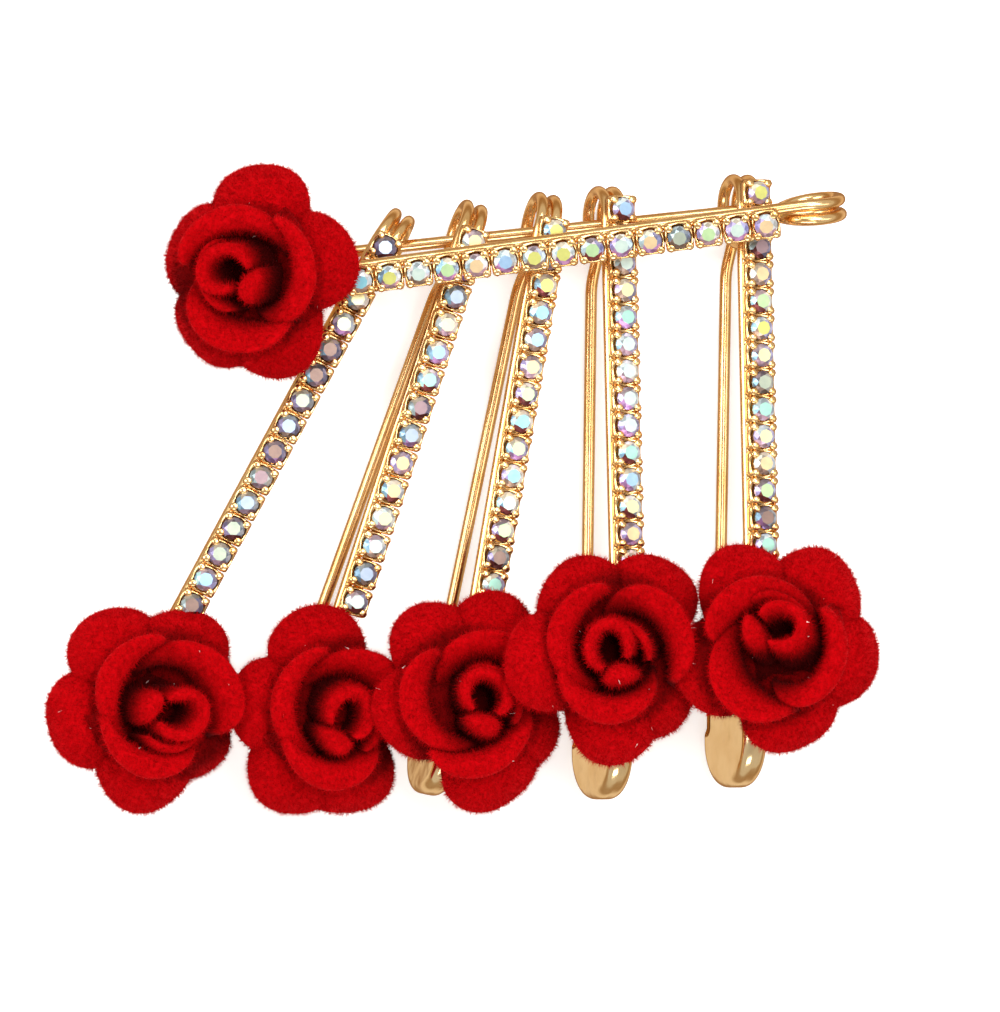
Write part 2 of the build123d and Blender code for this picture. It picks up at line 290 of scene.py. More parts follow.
def pin_place(row):
    """The pin's own frame: X from coil to cap, Z from arm to rod, Y to the side of its chain."""
    coil_z = row["coil_lift"] + lying_height(row, coil_diameter / 2, coil_side + wire_radius)
    cap_z = row["cap_lift"] + lying_height(row, cap_height / 2, cap_thickness / 2)
    heading = math.radians(row["heading"])
    flat = math.sqrt(cap_mouth**2 - (cap_z - coil_z) ** 2)
    along = unit((math.cos(heading) * flat, math.sin(heading) * flat, cap_z - coil_z))
    side = np.array((-math.sin(heading), math.cos(heading), 0.0))
    lean = math.radians(row["lean"])
    normal = np.cross(along, side) * math.cos(lean) + side * math.sin(lean)
    return Place((row["x"], row["y"], coil_z), along, normal)


def rod_place():
    """The rod's own line, from the top of the coil to its end inside the cap."""
    start = np.array((rod_bend_start, -coil_side, coil_line))
    way = unit(np.array((wire_end, 0, arm_line_at_cap)) - start)
    return Place(start - way * rod_bend_start, way, np.cross(way, (0.0, 1.0, 0.0)))


def rose_place(row, pin):
    """Frame of a rose's underside, tilted from the floor's."""
    origin = pin.out((row["along"], row["side"], cap_height / 2 + row["stand"]))
    tilt = (math.tan(math.radians(row["tilt_right"])), math.tan(math.radians(row["tilt_up"])), 1)
    return Place(origin, (1, 0, -tilt[0]), tilt)


def grid_quads(rows, columns):
    """Quads of a grid of points, rows by columns, whose last column meets its first."""
    index = np.arange(rows * columns).reshape(rows, columns)
    nxt = np.roll(index, -1, axis=1)
    return np.stack([index[:-1], nxt[:-1], nxt[1:], index[1:]], axis=-1).reshape(-1, 4)


def closed_skin(grid):
    """A closed body from rings of points: each row of the grid is a ring, and a point in the
    middle of the first ring and of the last closes the ends. Faces are turned outwards."""
    rows, columns = grid.shape[:2]
    points = np.concatenate([grid.reshape(-1, 3), grid[:1].mean(1), grid[-1:].mean(1)])
    quads = grid_quads(rows, columns)
    ring = np.arange(columns)
    nxt = np.roll(ring, -1)
    first = np.full(columns, rows * columns)
    last = (rows - 1) * columns
    fans = np.concatenate([
        np.stack([nxt, ring, first], axis=1),
        np.stack([last + ring, last + nxt, first + 1], axis=1),
    ])
    corners = points[quads]
    middle = points.mean(0)
    turned = np.cross(corners[:, 2] - corners[:, 0], corners[:, 3] - corners[:, 1])
    volume = np.einsum("ij,ij->i", turned, corners.mean(1) - middle).sum()
    if volume < 0:
        quads, fans = quads[:, ::-1], fans[:, ::-1]
    return points, quads, fans


def joined(skins):
    """Several bodies, each points, quads and triangles, as one."""
    starts = np.cumsum([0] + [len(skin[0]) for skin in skins])
    points = np.concatenate([skin[0] for skin in skins])
    quads = np.concatenate([skin[1] + start for skin, start in zip(skins, starts)])
    fans = np.concatenate([skin[2] + start for skin, start in zip(skins, starts)])
    return points, quads, fans


def copied_faces(faces, copies, size):
    """The faces of a number of copies of a body that has size points."""
    shift = (np.arange(copies) * size)[:, None, None]
    return (faces[None] + shift).reshape(-1, faces.shape[1])


def repeated(skin, middles):
    """One body copied to each of the middles."""
    points, quads, fans = skin
    count, size = len(middles), len(points)
    spots = (points[None] + np.asarray(middles, float)[:, None]).reshape(-1, 3)
    return spots, copied_faces(quads, count, size), copied_faces(fans, count, size)


def mesh_object(name, points, face_sets, materials, smooth=True):
    """An object from an array of points in millimetres and arrays of faces of one size each."""
    mesh = bpy.data.meshes.new(name)
    corners = np.concatenate([faces.ravel() for faces in face_sets])
    sizes = np.concatenate([np.full(len(faces), faces.shape[1]) for faces in face_sets])
    starts = np.concatenate([[0], np.cumsum(sizes)[:-1]])
    mesh.vertices.add(len(points))
    mesh.vertices.foreach_set("co", (np.asarray(points) * MM).astype(np.float32).ravel())
    mesh.loops.add(len(corners))
    mesh.loops.foreach_set("vertex_index", corners.astype(np.int32))
    mesh.polygons.add(len(sizes))
    mesh.polygons.foreach_set("loop_start", starts.astype(np.int32))
    mesh.polygons.foreach_set("use_smooth", np.full(len(sizes), smooth))
    for material in materials:
        mesh.materials.append(material)
    mesh.update(calc_edges=True)
    piece = bpy.data.objects.new(name, mesh)
    bpy.context.scene.collection.objects.link(piece)
    return piece


def onto_pin(piece, node):
    """The piece rides with the whole pin and stands for a CAD node, which it hides."""
    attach(piece, "root")
    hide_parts(node)


def rounded_path(corners, rounding):
    """Points every wire_step or so along straight lines between corners, each corner rounded by
    taking the mean of the path over the rounding to both sides, at finer_steps to a step."""
    corners = np.asarray(corners, float)
    lengths = np.linalg.norm(np.diff(corners, axis=0), axis=1)
    reach = np.concatenate([[0], np.cumsum(lengths)])
    step = wire_step / finer_steps
    at = np.linspace(0, reach[-1], max(2, round(reach[-1] / step)) + 1)
    line = np.stack([np.interp(at, reach, corners[:, k]) for k in range(3)], axis=1)
    window = 2 * round(rounding / step) + 1
    half = window // 2
    before = 2 * line[0] - line[half:0:-1]
    after = 2 * line[-1] - line[-2:-half - 2:-1]
    padded = np.concatenate([before, line, after])
    share = np.full(window, 1 / window)
    smooth = np.stack([np.convolve(padded[:, k], share, "valid") for k in range(3)], axis=1)
    return smooth[::finer_steps]


def tube(path, radii, sides):
    """A round wire: at each point of the path a ring of the given radius, square to the path.
    The ring's own directions are the path's cross products with the pin's side and with it."""
    way = np.gradient(path, axis=0)
    way /= np.linalg.norm(way, axis=1)[:, None]
    across = np.cross(way, (0.0, 1.0, 0.0))
    across /= np.linalg.norm(across, axis=1)[:, None]
    other = np.cross(way, across)
    turn = np.linspace(0, 2 * np.pi, sides, endpoint=False)[None, :, None]
    spread = np.cos(turn) * across[:, None] + np.sin(turn) * other[:, None]
    return closed_skin(path[:, None] + np.asarray(radii, float)[:, None, None] * spread)


def wire_skin():
    """Front rod, coil and pointed arm as one round wire. The coil is a helix about the pin's
    side: x = -r sin a, z = r cos a, and y grows evenly with the angle a."""
    rod = rounded_path(
        [(wire_end, 0, arm_line_at_cap), (rod_bend_start, -coil_side, coil_line),
         (0, -coil_side, coil_line)], bend_rounding)
    angle = np.linspace(0, 2 * np.pi * coil_turns, coil_steps)[1:-1]
    coil = np.stack([
        -coil_line * np.sin(angle),
        -coil_side + turn_shift * angle / np.pi,
        coil_line * np.cos(angle),
    ], axis=1)
    sag = (arm_line_at_cap - coil_line) * arm_bend_end / wire_end
    arm = rounded_path(
        [(0, coil_side, -coil_line), (arm_bend_start, coil_side, -coil_line),
         (arm_bend_end, 0, -coil_line - sag), (wire_end, 0, -arm_line_at_cap)], bend_rounding)
    path = np.concatenate([rod, coil, arm])
    to_point = np.linalg.norm(path - path[-1], axis=1)
    on_arm = np.arange(len(path)) >= len(rod) + len(coil)
    taper = np.clip(to_point / point_length, 0, 1)
    radii = np.where(on_arm, point_radius + (wire_radius - point_radius) * taper, wire_radius)
    return tube(path, radii, wire_sides)


def cup_skin():
    """One cup: rings round its middle, from its underside up the square outer wall, over the
    rim and down the round bore. The outer ring's radius is that of a superellipse, and the rim
    dips between the corners as the cosine of four times the angle. Each row of the profile is a
    ring: how far it has gone from square to round, and its shares of the radius and height."""
    angle = np.linspace(0, 2 * np.pi, 32, endpoint=False)
    power = cup_squareness
    square = 1 / (
        np.abs(2 * np.cos(angle) / cup_length) ** power
        + np.abs(2 * np.sin(angle) / cup_width) ** power) ** (1 / power)
    bore = np.full_like(angle, stone_diameter / 2 + stone_gap / 2)
    dip = cup_scallop * (1 + np.cos(4 * angle)) / 2
    profile = [
        (0.0, 0.35, 0.0), (0.0, 0.92, 0.0), (0.0, 1.0, 0.08), (0.0, 1.0, 0.6),
        (0.0, 1.0, 0.92), (0.3, 1.0, 1.0), (0.8, 1.0, 1.0), (1.0, 1.0, 0.9),
        (1.0, 0.97, 0.36), (1.0, 0.3, 0.34),
    ]
    rings = []
    for roundness, share, height in profile:
        radius = ((1 - roundness) * square + roundness * bore) * share
        level = cup_height * height - dip * max(0.0, height - 0.5) * 2
        rings.append(np.stack([radius * np.cos(angle), radius * np.sin(angle), level], axis=1))
    return closed_skin(np.array(rings))


def prong_skin(corner_x, corner_y):
    """A prong: rings up from the cup's corner that lean in over the stone by the square of their
    share of the height, and swell into a ball at the tip."""
    share = np.array([0.0, 0.3, 0.55, 0.68, 0.76, 0.84, 0.92, 0.98, 1.0])
    width = np.array([1.0, 1.0, 0.95, 1.1, 1.35, 1.45, 1.3, 0.85, 0.35]) * prong_radius
    lean = prong_lean * share[:, None] ** 2
    angle = np.linspace(0, 2 * np.pi, 8, endpoint=False)[None]
    x = corner_x * (cup_length / 2 - prong_radius - lean) + width[:, None] * np.cos(angle)
    y = corner_y * (cup_width / 2 - prong_radius - lean) + width[:, None] * np.sin(angle)
    z = prong_foot + (prong_height - prong_foot) * share[:, None] + 0 * angle
    return closed_skin(np.stack([x, y, z], axis=2))


def link_skin(run):
    """The strip that joins the cups: a flat bar, whose section is a superellipse."""
    angle = np.linspace(0, 2 * np.pi, 12, endpoint=False)
    cos, sin = np.cos(angle), np.sin(angle)
    y = link_width / 2 * np.sign(cos) * np.abs(cos) ** link_squareness
    z = link_height / 2 * (1 + np.sign(sin) * np.abs(sin) ** link_squareness)
    rings = [np.stack([np.full_like(y, x), y, z], axis=1) for x in (-run / 2, run / 2)]
    return closed_skin(np.array(rings))


def chain_middles(row):
    """The middles of a chain's cups along the rod."""
    steps = row["chain_start"] + np.arange(row["stones"]) * row["pitch"]
    base = wire_radius - cup_sink
    return np.stack([steps, np.full_like(steps, chain_side), np.full_like(steps, base)], axis=1)


def gold_wire(row, pin, gold):
    """A pin's wire with the cups and prongs that are soldered along its rod."""
    middles = chain_middles(row)
    prongs = [prong_skin(x, y) for x in (-1, 1) for y in (-1, 1)]
    cups = repeated(joined([cup_skin()] + prongs), middles)
    link = repeated(link_skin(middles[-1, 0] - middles[0, 0]), middles.mean(0)[None])
    chain = joined([cups, link])
    points, quads, fans = joined([wire_skin(), (rod_place().out(chain[0]),) + chain[1:]])
    piece = mesh_object("gold_wire_" + row["name"], pin.out(points), [quads, fans], [gold])
    onto_pin(piece, "wire_" + row["name"])


def stone_facets():
    """One cut stone on its culet: its points, and its faces by kind. Rings of eight and sixteen
    points give a table, star, kite and girdle facets, a girdle wall and a pavilion."""
    eight = np.radians(np.arange(8) * 45.0)
    between = eight + np.radians(22.5)
    sixteen = np.radians(np.arange(16) * 22.5)
    top = stone_pavilion + stone_girdle + stone_crown
    kite_radius = (stone_table + stone_diameter) / 4 * stone_kite_out

    def ring(angles, radius, height):
        return np.stack([radius * np.cos(angles), radius * np.sin(angles),
                         np.full_like(angles, height)], axis=1)

    points = np.concatenate([
        ring(eight, stone_table / 2, top),
        ring(between, kite_radius, top - stone_kite_drop * stone_crown),
        ring(sixteen, stone_diameter / 2, stone_pavilion + stone_girdle),
        ring(sixteen, stone_diameter / 2, stone_pavilion),
        np.array([[0.0, 0.0, 0.0]]),
    ])
    # Where the points of the kites' ring, of the girdle's two rings and of the culet start
    kite, upper, lower, culet = 8, 16, 32, 48
    corner = np.arange(8)
    edge = np.arange(16)
    nxt = (edge + 1) % 16
    tables = corner[None]
    stars = np.stack([corner, kite + corner, (corner + 1) % 8], axis=1)
    kites = np.stack(
        [corner, kite + (corner - 1) % 8, upper + 2 * corner, kite + corner], axis=1)
    halves = np.concatenate([
        np.stack([kite + corner, upper + 2 * corner, upper + 2 * corner + 1], axis=1),
        np.stack([kite + corner, upper + 2 * corner + 1, upper + (2 * corner + 2) % 16], axis=1),
    ])
    walls = np.stack([upper + edge, lower + edge, lower + nxt, upper + nxt], axis=1)
    pavilion = np.stack([lower + edge, np.full(16, culet), lower + nxt], axis=1)
    return points, [tables, stars, kites, halves, walls, pavilion]


def seen_colour(tint):
    """A colour as seen by eye, turned into the light that it stands for."""
    tint = np.asarray(tint, float)
    return np.where(tint <= 0.04045, tint / 12.92, ((tint + 0.055) / 1.055) ** 2.4)


def facet_side(direction):
    """The side of the stone that a facet faces, as seen from above."""
    turn = math.degrees(math.atan2(direction[1], direction[0])) % 360
    return ("right", "up", "left", "down")[int(((turn + 45) % 360) // 90)]


def stone_tints(row, kinds, points, place, pick):
    """A colour for each face of each stone of a chain: one for the table, and for the others one
    drawn by the side of the stone that the face looks to, which is a painted reflection."""
    middles = np.concatenate([points[faces].mean(1) for faces in kinds])
    ways = place.out(middles) - place.origin
    colours = []
    for _ in range(row["stones"]):
        dark = pick.random() < row["dark"]
        tables = dark_table_tints if dark else table_tints
        tints = [np.array(tables[pick.integers(len(tables))])]
        sides = {side: np.array(choices[pick.integers(len(choices))])
                 for side, choices in painted_facet_reflections.items()}
        for way in ways[1:]:
            tint = sides[facet_side(way)] * pick.uniform(*facet_light)
            tints.append(np.clip(tint * (dark_facet_light if dark else 1.0), 0, 1))
        colours.append(tints)
    return np.array(colours)


def coated_stones(row, pin, crystal, pick):
    """All the stones of one chain, each facet flat and with its own colour."""
    points, kinds = stone_facets()
    middles = chain_middles(row) + (0, 0, cup_floor + stone_gap)
    rod = rod_place()
    in_row = Place(pin.out(rod.origin), pin.axes.T @ rod.axes[0], pin.axes.T @ rod.axes[2])
    count = len(middles)
    turns = np.radians(pick.uniform(-stone_turn, stone_turn, count))[:, None]
    cos, sin = np.cos(turns), np.sin(turns)
    x, y, z = points.T
    turned = np.stack([x * cos - y * sin, x * sin + y * cos, z + 0 * turns], axis=2)
    placed = in_row.out((turned + middles[:, None]).reshape(-1, 3))
    face_sets = [copied_faces(faces, count, len(points)) for faces in kinds]
    piece = mesh_object("coated_stones_" + row["name"], placed, face_sets, [crystal], smooth=False)
    colours = seen_colour(stone_tints(row, kinds, points, in_row, pick))
    ends = np.cumsum([len(faces) for faces in kinds])[:-1]
    per_face = [part.reshape(-1, 3) for part in np.split(colours, ends, axis=1)]
    per_corner = np.concatenate([
        np.repeat(part, faces.shape[1], axis=0) for part, faces in zip(per_face, face_sets)])
    full = np.concatenate([per_corner, np.ones((len(per_corner), 1))], axis=1)
    attribute = piece.data.attributes.new("facet_tint", "FLOAT_COLOR", "CORNER")
    attribute.data.foreach_set("color", full.astype(np.float32).ravel())
    onto_pin(piece, "stones_" + row["name"])


def outer_petal_skin(direction, reach, droop, pick):
    """An outer petal: a hollow dome, turned down by its droop about a hinge near the heart.
    Rings run from the dome's top out to its rim, round the rim's half circle and back under it.
    The dome is a ball's cap whose plan waves as cosines of the turn, a crease runs along it from
    the heart, and its rim waves up and down as a sine of the turn."""
    half_angle = math.asin(petal_radius / petal_dome_radius)
    half_wall = petal_wall / 2
    middle_radius = petal_dome_radius - half_wall
    over = np.linspace(0.03, 1.0, 20) * half_angle
    under = np.linspace(1.0, 0.05, 9) * half_angle
    rim = np.radians(np.linspace(0, 180, 7)[1:-1])
    polar = np.concatenate([over, np.full(len(rim), half_angle), under])[:, None]
    lift = np.concatenate([np.ones(len(over)), np.cos(rim), -np.ones(len(under))])[:, None]
    outward = np.concatenate([np.zeros(len(over)), np.sin(rim), np.zeros(len(under))])[:, None]
    turn = np.linspace(0, 2 * np.pi, 56, endpoint=False)[None]
    phase = pick.uniform(0, 2 * np.pi, 3)
    plan = (1 + petal_plan_waves[0] * np.cos(3 * turn + phase[0])
            + petal_plan_waves[1] * np.cos(2 * turn + phase[1]))
    radial = ((middle_radius + half_wall * lift) * np.sin(polar)
              + half_wall * outward * np.cos(polar)) * plan
    height = ((middle_radius + half_wall * lift) * np.cos(polar)
              - half_wall * outward * np.sin(polar)) - petal_dome_radius
    x = radial * np.cos(turn)
    y = radial * np.sin(turn)
    share = polar / half_angle
    heartward = 1 / (1 + np.exp((x - petal_crease_end) / petal_crease_fade))
    height = height - petal_crease * np.exp(-((y / petal_crease_width) ** 2)) * heartward
    height = height + petal_wave * share**3 * np.sin(4 * turn + phase[2])
    along = reach * rose_radius - petal_radius - petal_hinge
    tilt = math.radians(droop)
    way = np.array((math.cos(math.radians(direction)), math.sin(math.radians(direction)), 0.0))
    up = np.array((0.0, 0.0, 1.0))
    hinge = Place(petal_hinge * way + petal_apex * up,
                  way * math.cos(tilt) - up * math.sin(tilt),
                  way * math.sin(tilt) + up * math.cos(tilt))
    grid = np.stack([x + along, y, height + 0 * turn], axis=2)
    points, quads, fans = closed_skin(grid)
    return hinge.out(points), quads, fans


def cup_petal_skin(direction, rise, hand, pick):
    """An upright petal of the cup: a trumpet wall that flares out at its lip. Each ring is the
    wall's section at one turn about the foot: up its inner face, which is an arc, round the lip
    and down its back. The lip draws back towards both ends. The wall winds inwards and sinks
    towards the end that is tucked inside the next petal, and its other end stands out and lies
    over the petal before, by the square of the turn."""
    turn = np.linspace(-1, 1, 72)[:, None]
    tucked = np.clip(turn - cup_petal_tuck_from, 0, 1)
    spread = np.clip(-turn - cup_petal_spread_from, 0, 1)
    half_wall = cup_petal_wall / 2 * (1 - cup_petal_taper * (tucked**2 + spread**2))
    centre_x = cup_petal_neck + cup_petal_flare
    centre_z = cup_petal_top * rise - cup_petal_flare
    middle = cup_petal_flare - half_wall
    low = math.pi + math.asin((centre_z - cup_petal_foot) / cup_petal_flare)
    phase = pick.uniform(0, 2 * np.pi, 2)
    fullness = np.clip(1 - np.abs(turn) ** 3, 0, 1) ** 0.7
    wave = cup_petal_lip_wave * np.sin(4 * turn + phase[0])
    high = low + (math.radians(cup_petal_lip) - low) * (
        cup_petal_end_lip + (1 - cup_petal_end_lip) * fullness + wave
        - cup_petal_tucked_lip * tucked)
    face = np.linspace(0, 1, 12)[None]
    lip = np.radians(np.linspace(0, 180, 7)[1:-1])[None]
    back = np.linspace(0, 1, 8)[None]
    arc = np.concatenate([
        low + (high - low) * face, np.repeat(high, lip.shape[1], axis=1),
        high + (low - high) * back], axis=1)
    wall = half_wall * np.concatenate(
        [np.ones_like(face), np.cos(lip), -np.ones_like(back)], axis=1)
    past = half_wall * np.concatenate(
        [np.zeros_like(face), np.sin(lip), np.zeros_like(back)], axis=1)
    x = centre_x + (middle + wall) * np.cos(arc) + past * np.sin(arc)
    z = centre_z + (middle + wall) * np.sin(arc) - past * np.cos(arc)
    share = np.clip((z - cup_petal_foot) / (cup_petal_top - cup_petal_foot), 0, 1)
    x = x - cup_petal_spiral * turn + cup_petal_spread * spread**2
    x = x + cup_petal_wall_wave * np.sin(3 * turn + phase[1])
    z = z - share * (cup_petal_tuck * tucked**2 + cup_petal_rise * turn)
    angle = math.radians(direction) + hand * turn * math.radians(cup_petal_sweep / 2)
    grid = np.stack([x * np.cos(angle), x * np.sin(angle), z], axis=2)
    return closed_skin(grid)


def rolled_wall(middle, start, sweep, radius, wall, top, pick):
    """A small upright petal of the bud, bent round a middle. Each ring is the wall's section, up
    its outside, over a round top and down its inside. Towards both ends the wall thins by the
    root of the sixth power of the way there, and its top sinks by the fourth power. The top and
    the radius wave as sines of twice the angle."""
    share = np.linspace(0, 1, 60)[:, None]
    angle = np.radians(start + sweep * share)
    end = np.abs(2 * share - 1)
    half_wall = wall / 2 * np.sqrt(1 - bud_end_thinning * end**6)
    wave = bud_top_wave * np.sin(2 * angle + pick.uniform(0, 6))
    crest = top - half_wall - bud_end_drop * end**4 + wave
    foot = np.full_like(crest, heart_height - bud_sink)
    over = np.radians(np.linspace(0, 180, 9))[None]
    side = np.linspace(0, 1, 7)[None, :-1]
    x = half_wall * np.concatenate(
        [np.ones_like(side), np.cos(over), -np.ones_like(side)], axis=1)
    z = np.concatenate([
        foot + (crest - foot) * side, crest + half_wall * np.sin(over),
        crest + (foot - crest) * (1 - side[:, ::-1])], axis=1)
    radius = radius * (1 + bud_round_wave * np.sin(2 * angle + pick.uniform(0, 6))) + x
    grid = np.stack([
        middle[0] + radius * np.cos(angle), middle[1] + radius * np.sin(angle), z], axis=2)
    return closed_skin(grid)


def lump_skin(middle, heading, top, pick):
    """The folded tip beside the bud's hole: an oval post with a domed top, whose outline waves
    as a cosine of three times the turn."""
    angle = np.linspace(0, 2 * np.pi, 36, endpoint=False)[None]
    dome = np.radians(np.linspace(0, 88, 9))[:, None]
    share = np.concatenate([np.full((4, 1), 1.0), np.cos(dome)])
    foot = heart_height - bud_sink
    z = np.concatenate([
        np.linspace(foot, top - bud_lump_wide, 5)[:4, None],
        top - bud_lump_wide + bud_lump_wide * np.sin(dome)])
    wave = 1 + bud_lump_wave * np.cos(3 * angle + pick.uniform(0, 6))
    x = bud_lump_wide * share * wave * np.cos(angle)
    y = bud_lump_long * share * wave * np.sin(angle)
    turn = math.radians(heading)
    return closed_skin(np.stack([
        middle[0] + x * math.cos(turn) - y * math.sin(turn),
        middle[1] + x * math.sin(turn) + y * math.cos(turn),
        z + 0 * angle], axis=2))


def bud_skins(lump, hand, pick):
    """The bud: a petal rolled round a hole, a folded tip beside it, and a leaf round both."""
    side = np.array((math.cos(math.radians(lump)), math.sin(math.radians(lump))))
    return [
        rolled_wall(-side * bud_roll_offset, lump + bud_roll_start * hand,
                    bud_roll_sweep * hand, bud_roll_radius, bud_roll_wall, bud_top, pick),
        lump_skin(side * bud_lump_offset, lump - bud_lump_turn * hand,
                  bud_top - bud_lump_drop, pick),
        rolled_wall((0.0, 0.0), lump + bud_leaf_start * hand, bud_leaf_sweep * hand,
                    bud_leaf_radius, bud_leaf_wall, bud_top - bud_leaf_drop, pick),
    ]


def leaning(skin, lean):
    """A skin sheared to the side: nothing at the heart's height, all of the lean at lean_height
    above it, and at most lean_most times the lean."""
    points = skin[0].copy()
    share = np.clip((points[:, 2] - heart_height) / lean_height, 0, lean_most)
    points[:, :2] += share[:, None] * np.asarray(lean, float)
    return (points,) + skin[1:]


def heart_skin():
    """The rose's heart: a round foot that widens from the pad up to the petals."""
    angle = np.linspace(0, 2 * np.pi, 40, endpoint=False)
    profile = [(pad_radius - heart_foot_inset, 0.0), (pad_radius, heart_foot_rise),
               (heart_radius - heart_rim_inset, heart_rim_height),
               (heart_radius - heart_top_inset, heart_height), (heart_top_radius, heart_height)]
    rings = [np.stack([r * np.cos(angle), r * np.sin(angle), np.full_like(angle, z)], axis=1)
             for r, z in profile]
    return closed_skin(np.array(rings))


def flock(points, quads, count, length, width, pick):
    """Short fibres that stand on a skin: each is a thin triangle on a random spot of the quads,
    drawn by their areas, pointing along the face's normal with a random lean. The quads that
    they stand on come back with them."""
    corners = points[quads]
    normals = np.cross(corners[:, 2] - corners[:, 0], corners[:, 3] - corners[:, 1])
    areas = np.linalg.norm(normals, axis=1)
    normals = normals / np.maximum(areas, 1e-9)[:, None]
    drawn = pick.choice(len(quads), count, p=areas / areas.sum())
    u, v = pick.random((2, count, 1))
    c = corners[drawn]
    spots = (c[:, 0] * (1 - u) + c[:, 1] * u) * (1 - v) + (c[:, 3] * (1 - u) + c[:, 2] * u) * v
    way = normals[drawn] + fibre_lean * pick.normal(size=(count, 3))
    way /= np.linalg.norm(way, axis=1)[:, None]
    across = np.cross(way, pick.normal(size=(count, 3)))
    across /= np.linalg.norm(across, axis=1)[:, None]
    long = length * pick.uniform(*fibre_lengths, (count, 1))
    fibres = np.stack([
        spots - across * width / 2, spots + across * width / 2, spots + way * long], axis=1)
    return fibres.reshape(-1, 3), np.arange(3 * count).reshape(-1, 3), drawn


def depth_under(points, top):
    """How deep in a fold points lie: 0 near the top of their petal, and 1 well below it."""
    return np.clip((top - fold_rim - points[:, 2]) / fold_shade_depth, 0, 1)


def depth_inside(points, lean, most=1.0):
    """How deep points lie inside the cup's outline: 0 outside it, and the most by the heart."""
    away = np.hypot(points[:, 0] - lean[0], points[:, 1] - lean[1])
    return np.clip((fold_reach - away) / fold_shade_depth, 0, most)


def depth_in_cup(points, top, lean):
    """How deep points of a cup petal lie under its top, with a limit on the cup's outside."""
    limit = fold_outside_most + (1 - fold_outside_most) * depth_inside(points, lean)
    return np.minimum(depth_under(points, top), limit)


def flocked_rose(name, row, pin, flock_red, speck_pale, pick):
    """A rose: heart, five domed petals, three cup petals and a bud, all under flock."""
    heart = heart_skin()
    buds = [leaning(skin, row["bud_lean"]) for skin in bud_skins(row["lump"], row["hand"], pick)]
    outer_petals = [outer_petal_skin(*petal, pick) for petal in row["petals"]]
    cup_petals = [leaning(cup_petal_skin(*cup, row["hand"], pick), row["cup_lean"])
                  for cup in row["cups"]]
    points, quads, fans = joined([heart] + buds + outer_petals + cup_petals)
    # The depths are painted shade: the heart is all in shade, and the bud and the petals darken in
    # their folds and under the cup
    depths = np.concatenate(
        [np.ones(len(heart[0]))] + [depth_under(bud[0], bud_top) for bud in buds]
        + [depth_inside(petal[0], row["cup_lean"], fold_outer_most) for petal in outer_petals]
        + [depth_in_cup(petal[0], cup_petal_top * rise, row["cup_lean"])
           for petal, (_, rise) in zip(cup_petals, row["cups"])])
    fibres, fibre_faces, fibre_quads = flock(
        points, quads, fibres_per_rose, fibre_length, fibre_width, pick)
    specks, speck_faces, speck_quads = flock(
        points, quads, specks_per_rose, fibre_length, 2 * fibre_width, pick)
    every_point = np.concatenate([points, fibres, specks])
    on_quads = np.concatenate([fibre_quads, speck_quads])
    every_depth = np.concatenate([depths, np.repeat(depths[quads[on_quads]].mean(1), 3)])
    face_sets = [quads, fans, fibre_faces + len(points), speck_faces + len(points) + len(fibres)]
    piece = mesh_object(
        "flocked_rose_" + name, rose_place(row, pin).out(every_point), face_sets,
        [flock_red, speck_pale])
    kinds = np.zeros(len(piece.data.polygons), np.int32)
    kinds[-len(speck_faces):] = 1
    piece.data.polygons.foreach_set("material_index", kinds)
    attribute = piece.data.attributes.new("fold_shade_depth", "FLOAT", "POINT")
    attribute.data.foreach_set("value", every_depth.astype(np.float32))
    onto_pin(piece, "rose_" + name)


def set_stops(ramp, stops):
    """Gives a colour ramp's node its stops, each a place and a colour, from low to high."""
    elements = ramp.color_ramp.elements
    while len(elements) < len(stops):
        elements.new(0.5)
    for element, (place, colour) in zip(elements, stops):
        element.position = place
        element.color = (*colour, 1.0)


class Finish:
    """A material and short ways to add to its nodes."""

    def __init__(self, name, sockets):
        self.material = bpy.data.materials.new(name)
        self.material.use_nodes = True
        self.nodes = self.material.node_tree.nodes
        self.links = self.material.node_tree.links
        self.shader = self.nodes["Principled BSDF"]
        for socket, value in sockets.items():
            self.shader.inputs[socket].default_value = value
        self.places = self.nodes.new("ShaderNodeTexCoord").outputs["Object"]

    def noise(self, scale, detail=3.0, roughness=0.5):
        """Even noise on the object's own coordinates, from 0 to 1."""
        node = self.nodes.new("ShaderNodeTexNoise")
        node.inputs["Scale"].default_value = scale
        node.inputs["Detail"].default_value = detail
        node.inputs["Roughness"].default_value = roughness
        self.links.new(self.places, node.inputs["Vector"])
        return node.outputs["Fac"]

    def attribute(self, name):
        """An attribute of the mesh: its colour and its value."""
        node = self.nodes.new("ShaderNodeAttribute")
        node.attribute_name = name
        return node.outputs["Color"], node.outputs["Fac"]

    def multiplied(self, one, other):
        """Two colours multiplied, each the output of a node."""
        node = self.nodes.new("ShaderNodeMix")
        node.data_type = "RGBA"
        node.blend_type = "MULTIPLY"
        node.inputs["Factor"].default_value = 1.0
        self.links.new(one, node.inputs["A"])
        self.links.new(other, node.inputs["B"])
        return node.outputs["Result"]

    def ramp(self, value, stops):
        """Colours that follow a value, from stops of a place and a colour."""
        node = self.nodes.new("ShaderNodeValToRGB")
        set_stops(node, stops)
        self.links.new(value, node.inputs["Fac"])
        return node.outputs["Color"]

    def span(self, value, low, high):
        """A value from 0 to 1 spread over a range."""
        node = self.nodes.new("ShaderNodeMapRange")
        node.inputs["To Min"].default_value = low
        node.inputs["To Max"].default_value = high
        self.links.new(value, node.inputs["Value"])
        return node.outputs["Result"]

    def bump(self, value, distance, strength):
        """Small relief of the surface."""
        node = self.nodes.new("ShaderNodeBump")
        node.inputs["Distance"].default_value = distance
        node.inputs["Strength"].default_value = strength
        self.links.new(value, node.inputs["Height"])
        self.links.new(node.outputs["Normal"], self.shader.inputs["Normal"])

    def give(self, value, socket):
        """Links a value to the shader."""
        self.links.new(value, self.shader.inputs[socket])


